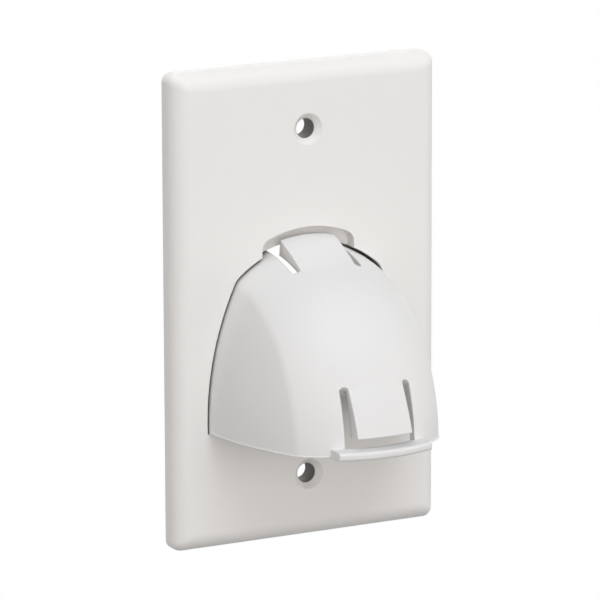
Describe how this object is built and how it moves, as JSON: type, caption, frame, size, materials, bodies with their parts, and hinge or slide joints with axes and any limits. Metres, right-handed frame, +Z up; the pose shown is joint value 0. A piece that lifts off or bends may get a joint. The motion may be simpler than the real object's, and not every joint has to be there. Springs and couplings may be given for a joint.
{
  "type": "cable wall plate",
  "caption": "Rectangular wall cover plate with a rounded, down-facing hood over its opening, so that cables leave the wall and hang straight down beside it.",
  "frame": {"origin": "centre of the plate's back face, on the wall", "axes": "+Z up, -Y out of the wall towards the viewer, +X to the right as seen from the front"},
  "size_m": [0.0698, 0.0471, 0.1142],
  "materials": {
    "white_plastic": "smooth moulded, soft sheen"
  },
  "bodies": {
    "root": {"wall_plate": "white_plastic", "cable_hood": "white_plastic"}
  },
  "joints": []
}
